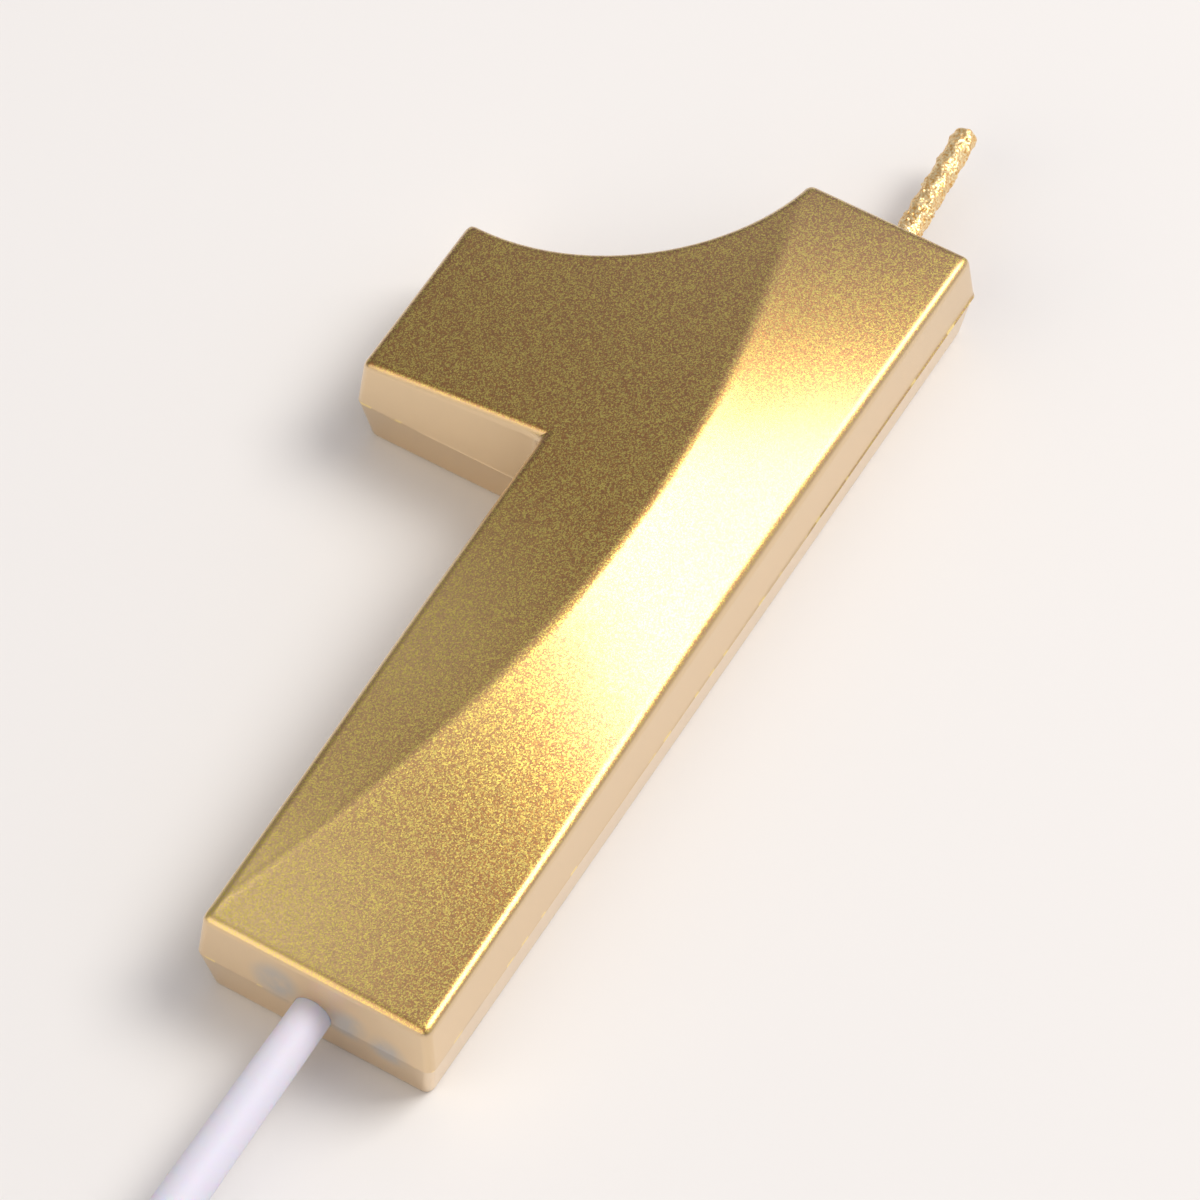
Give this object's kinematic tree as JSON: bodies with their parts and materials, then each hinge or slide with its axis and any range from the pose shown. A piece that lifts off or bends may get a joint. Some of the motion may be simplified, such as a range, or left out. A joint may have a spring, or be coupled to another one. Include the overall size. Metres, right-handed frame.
{
  "type": "number birthday candle",
  "caption": "Number one birthday candle: a gold faceted wax numeral with a cotton wick out of its top and a white plastic cake pick in its foot.",
  "frame": {"origin": "on the flat back face, on the stem's centre line, half way up the numeral", "axes": "+X to the numeral's right as it is read, +Y up the numeral towards the wick, +Z out of the faceted front; the candle lies on its back"},
  "size_m": [0.0312, 0.1313, 0.0113],
  "materials": {
    "gold_lacquered_wax": "metallic gold lacquer with fine flake over cast paraffin wax",
    "waxed_cotton": "twisted cotton, waxed and gilded",
    "white_plastic": "moulded white plastic, slightly milky"
  },
  "bodies": {
    "candle": {"wax_numeral": "gold_lacquered_wax", "wick_strand_1": "waxed_cotton", "wick_strand_2": "waxed_cotton", "wick_strand_3": "waxed_cotton"},
    "pick": {"cake_pick": "white_plastic"}
  },
  "joints": [
    {"name": "pick_pull", "type": "slide", "parent": "candle", "child": "pick", "axis": [0, -1, 0], "range_m": [0, 0.0165]}
  ]
}
